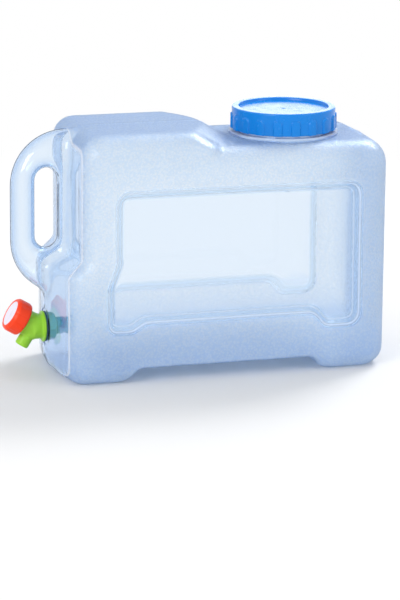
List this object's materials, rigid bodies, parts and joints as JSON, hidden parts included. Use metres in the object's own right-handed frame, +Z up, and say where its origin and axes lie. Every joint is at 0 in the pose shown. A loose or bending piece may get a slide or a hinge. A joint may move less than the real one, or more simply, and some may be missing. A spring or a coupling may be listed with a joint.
{
  "type": "carboy with spigot",
  "caption": "Translucent blue carboy with a hollow side handle, recessed faces, a wide screw cap and a turning spigot low in its end wall.",
  "frame": {"origin": "middle of the whole part's box, on the surface it stands on", "axes": "+X along the bottle from the spigot end to the far end, +Y to the back, +Z up"},
  "size_m": [0.3834, 0.148, 0.2591],
  "materials": {
    "bottle_plastic": "translucent, fine frosted texture with clear end panel",
    "cap_plastic": "smooth moulded",
    "green_plastic": "smooth moulded",
    "red_plastic": "smooth moulded",
    "white_plastic": "smooth moulded",
    "white_rubber": "matt",
    "dark_rubber": "matt",
    "grey_rubber": "matt"
  },
  "bodies": {
    "bottle": {"carboy_body": "bottle_plastic", "spigot_body": "green_plastic", "flange_gasket": "dark_rubber", "spigot_nut": "green_plastic"},
    "cap_seal": {"cap_gasket": "white_rubber"},
    "cap": {"screw_cap": "cap_plastic"},
    "stem_seal": {"seal_disc": "grey_rubber"},
    "knob": {"valve_stem": "white_plastic", "stem_o_ring": "dark_rubber", "spigot_knob": "red_plastic", "knob_disc": "white_plastic"}
  },
  "joints": [
    {"name": "cap_lift", "type": "slide", "parent": "bottle", "child": "cap_seal", "axis": [0, 0, 1], "range_m": [0, 0.03]},
    {"name": "cap_turn", "type": "hinge", "parent": "cap_seal", "child": "cap", "pos_m": [0.09767, 0, 0.2591], "axis": [0, 0, 1], "range_deg": [0, 1800]},
    {"name": "stem_lift", "type": "slide", "parent": "bottle", "child": "stem_seal", "axis": [-0.8572, 0, 0.515], "range_m": [0, 0.004]},
    {"name": "knob_turn", "type": "hinge", "parent": "stem_seal", "child": "knob", "pos_m": [-0.17656, 0, 0.05767], "axis": [-0.8572, 0, 0.515], "range_deg": [0, 480]}
  ],
  "couplings": [
    {"joint": "cap_lift", "follows": "cap_turn", "m_per_rad": 0.00095493},
    {"joint": "stem_lift", "follows": "knob_turn", "m_per_rad": 0.00047746}
  ]
}
